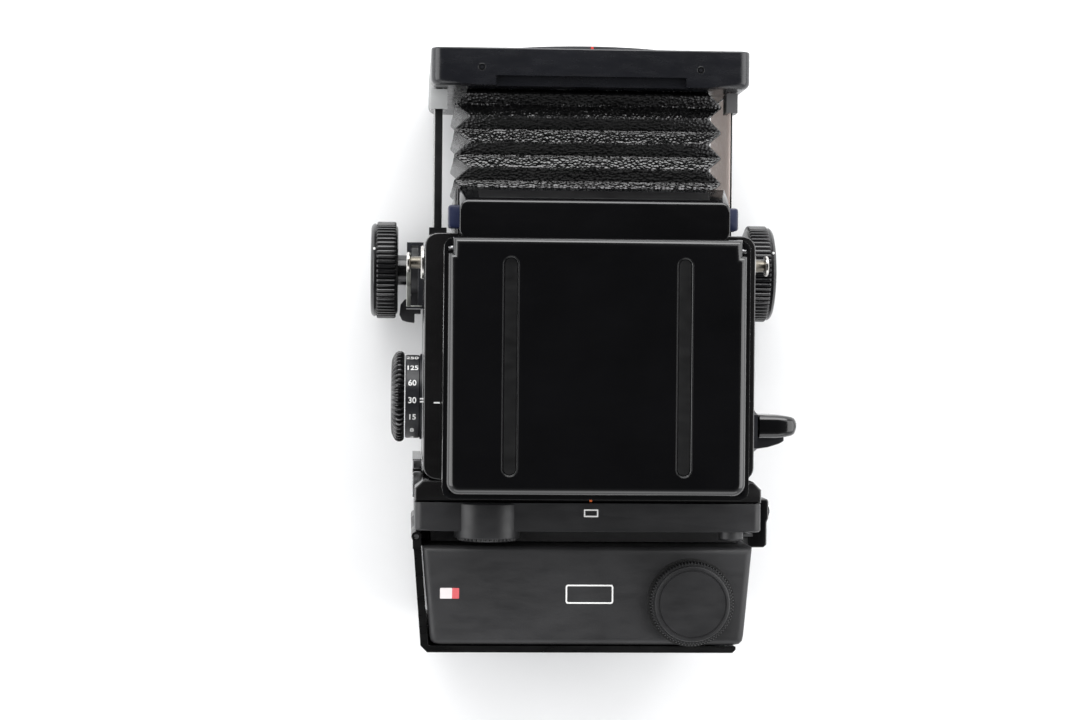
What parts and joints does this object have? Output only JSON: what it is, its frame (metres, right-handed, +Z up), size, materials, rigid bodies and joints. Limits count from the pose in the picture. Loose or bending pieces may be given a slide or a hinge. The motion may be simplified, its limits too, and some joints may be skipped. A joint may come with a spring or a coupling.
{
  "type": "medium-format bellows reflex camera",
  "caption": "Modular reflex camera with bellows focusing, folded waist-level hood, revolving back, roll-film holder, focus knobs, speed dial and cocking lever, without a lens.",
  "frame": {"origin": "on the underside of the base plate, straight below the lens axis and the middle of the hood", "axes": "+Z up towards the hood, +Y out through the lens mount, +X to the viewer's right"},
  "size_m": [0.1338, 0.1832, 0.1335],
  "materials": {
    "satin_black": "satin black enamel on a light-metal casting",
    "gloss_black": "semi-gloss black enamel",
    "matte_black": "matte black with a fine texture",
    "back_plastic": "matte charcoal black with a fine pebbled texture",
    "moulded_black": "smooth moulded black plastic",
    "inner_black": "dull anti-reflection black",
    "bellows_leather": "fine-grained black leatherette with bright highlights on the folds",
    "chrome": "polished chrome",
    "steel": "brushed steel",
    "navy_plastic": "navy blue moulded plastic",
    "printed_plate": "thin plate printed with a pale chart",
    "clear_glass": "clear and ground glass",
    "mirror": "front-silvered mirror",
    "grey_plastic": "frosted grey plastic"
  },
  "bodies": {
    "camera_body": {"body_shell": "satin_black", "base_plate": "matte_black", "tripod_bush": "steel", "top_front_housing": "moulded_black", "rear_frame": "matte_black", "focusing_screen": "clear_glass", "screen_frame": "steel", "accessory_shoe": "satin_black", "strap_lug_left": "chrome", "strap_lug_right": "chrome", "plate_guide_left": "moulded_black", "battery": "steel", "battery_cover": "matte_black", "hood_base": "gloss_black", "hood_side_panel_left": "inner_black", "hood_side_panel_right": "inner_black", "hood_rear_panel": "inner_black", "hood_hinge_pin": "steel"},
    "front_standard": {"front_plate": "satin_black", "lens_mount_ring": "chrome", "bellows": "bellows_leather", "rack_rail_left": "steel", "rack_rail_right": "steel", "scale_plate_left": "satin_black", "scale_plate_right": "printed_plate", "plate_bracket_left": "grey_plastic", "plate_bracket_right": "grey_plastic"},
    "focus_drive": {"focus_shaft": "steel", "focus_knob_left": "matte_black", "focus_knob_right": "matte_black"},
    "focus_lock": {"focus_lock_lever": "moulded_black"},
    "lid": {"hood_lid": "gloss_black"},
    "magnifier": {"magnifier_frame": "inner_black", "magnifier_lens": "clear_glass"},
    "finder_release_left": {"finder_button_left": "navy_plastic"},
    "finder_release_right": {"finder_button_right": "navy_plastic"},
    "mirror": {"mirror_frame": "inner_black", "mirror_glass": "mirror"},
    "cocking_lever": {"cocking_lever_arm": "satin_black", "cocking_lever_grip": "moulded_black"},
    "speed_dial": {"speed_dial_ring": "satin_black", "speed_dial_cap": "matte_black"},
    "shutter_release": {"shutter_button": "chrome"},
    "release_ring": {"release_collar": "moulded_black"},
    "revolving_back": {"adapter_plate": "back_plastic", "slide_frame": "inner_black", "holder_shell": "back_plastic", "film_insert": "inner_black", "pressure_plate": "steel", "film_roller_left": "steel", "film_roller_right": "steel", "back_door_pin": "steel"},
    "holder_release": {"holder_dial": "matte_black"},
    "film_advance": {"advance_knob": "matte_black", "take_up_spool": "inner_black"},
    "supply": {"supply_spool": "inner_black"},
    "dark_slide": {"dark_slide_blade": "steel", "dark_slide_grip": "moulded_black", "dark_slide_loop": "chrome"},
    "door": {"back_door": "back_plastic"}
  },
  "joints": [
    {"name": "focus_slide", "type": "slide", "parent": "camera_body", "child": "front_standard", "axis": [0, 1, 0], "range_m": [-0.026, 0.02], "deforming": ["bellows"]},
    {"name": "focus_turn", "type": "hinge", "parent": "camera_body", "child": "focus_drive", "pos_m": [0, 0.031, 0.02], "axis": [1, 0, 0], "range_deg": [-176, 136]},
    {"name": "focus_lock_turn", "type": "hinge", "parent": "camera_body", "child": "focus_lock", "pos_m": [-0.052, 0.031, 0.02], "axis": [-1, 0, 0], "range_deg": [0, 30]},
    {"name": "lid_hinge", "type": "hinge", "parent": "camera_body", "child": "lid", "pos_m": [0, 0.0337, 0.1296], "axis": [-1, 0, 0], "range_deg": [0, 90]},
    {"name": "magnifier_hinge", "type": "hinge", "parent": "lid", "child": "magnifier", "pos_m": [0, -0.0263, 0.1297], "axis": [-1, 0, 0], "range_deg": [0, 90]},
    {"name": "finder_button_left_slide", "type": "slide", "parent": "camera_body", "child": "finder_release_left", "axis": [1, 0, 0], "range_m": [0, 0.002], "stiffness_N_per_m": 400},
    {"name": "finder_button_right_slide", "type": "slide", "parent": "camera_body", "child": "finder_release_right", "axis": [-1, 0, 0], "range_m": [0, 0.002], "stiffness_N_per_m": 400},
    {"name": "mirror_hinge", "type": "hinge", "parent": "camera_body", "child": "mirror", "pos_m": [0, -0.026, 0.093], "axis": [1, 0, 0], "range_deg": [0, 45]},
    {"name": "cocking_lever_turn", "type": "hinge", "parent": "camera_body", "child": "cocking_lever", "pos_m": [0.052, -0.02, 0.038], "axis": [-1, 0, 0], "range_deg": [0, 70], "stiffness_Nm_per_rad": 0.2},
    {"name": "speed_dial_turn", "type": "hinge", "parent": "camera_body", "child": "speed_dial", "pos_m": [-0.055, -0.0099, 0.076], "axis": [-1, 0, 0], "continuous": true},
    {"name": "shutter_button_slide", "type": "slide", "parent": "camera_body", "child": "shutter_release", "axis": [0, -1, 0], "range_m": [0, 0.0025], "stiffness_N_per_m": 300},
    {"name": "release_ring_turn", "type": "hinge", "parent": "camera_body", "child": "release_ring", "pos_m": [0.045, 0.0415, 0.018], "axis": [0, -1, 0], "range_deg": [0, 45]},
    {"name": "back_turn", "type": "hinge", "parent": "camera_body", "child": "revolving_back", "pos_m": [0, -0.0452, 0.0525], "axis": [0, -1, 0], "range_deg": [0, 90]},
    {"name": "holder_dial_turn", "type": "hinge", "parent": "revolving_back", "child": "holder_release", "pos_m": [-0.0302, -0.0512, 0.0973], "axis": [0, 1, 0], "range_deg": [0, 40]},
    {"name": "film_advance_turn", "type": "hinge", "parent": "revolving_back", "child": "film_advance", "pos_m": [0.031, -0.0706, 0.0525], "axis": [0, 0, 1], "continuous": true},
    {"name": "supply_spool_turn", "type": "hinge", "parent": "revolving_back", "child": "supply", "pos_m": [-0.031, -0.0706, 0.0525], "axis": [0, 0, 1], "continuous": true},
    {"name": "dark_slide_pull", "type": "slide", "parent": "revolving_back", "child": "dark_slide", "axis": [1, 0, 0], "range_m": [0, 0.1]},
    {"name": "back_door_swing", "type": "hinge", "parent": "revolving_back", "child": "door", "pos_m": [-0.0514, -0.0513, 0.0525], "axis": [0, 0, -1], "range_deg": [0, 100]}
  ],
  "couplings": [
    {"joint": "focus_turn", "follows": "focus_slide", "rad_per_m": 117.65},
    {"joint": "magnifier_hinge", "follows": "lid_hinge", "ratio": 1}
  ]
}
